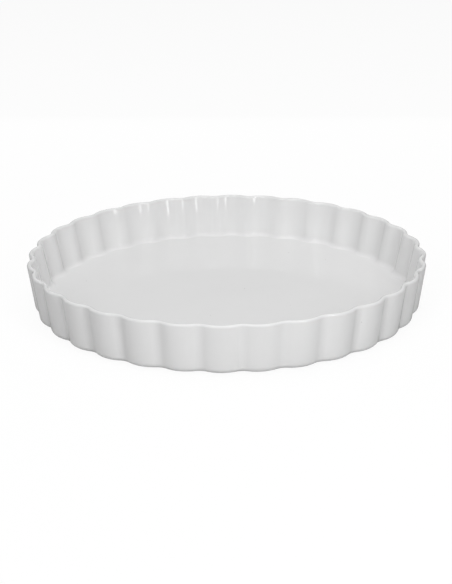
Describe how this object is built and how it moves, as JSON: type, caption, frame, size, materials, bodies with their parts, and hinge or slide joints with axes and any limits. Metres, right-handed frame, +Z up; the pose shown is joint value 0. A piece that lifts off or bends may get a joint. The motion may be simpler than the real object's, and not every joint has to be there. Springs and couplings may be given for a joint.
{
  "type": "quiche dish",
  "caption": "Shallow round baking dish with a fluted, outward-leaning wall, a full-round lip, a flat floor and a low foot ring, in white glazed porcelain.",
  "frame": {"origin": "centre of the plane that the foot ring stands on", "axes": "+Z up along the dish's axis, +X through the crest of one flute"},
  "size_m": [0.28, 0.28, 0.036],
  "materials": {
    "white_glaze": "glossy white glaze over porcelain, with the tread of the foot ring bare"
  },
  "bodies": {
    "root": {"dish": "white_glaze"}
  },
  "joints": []
}
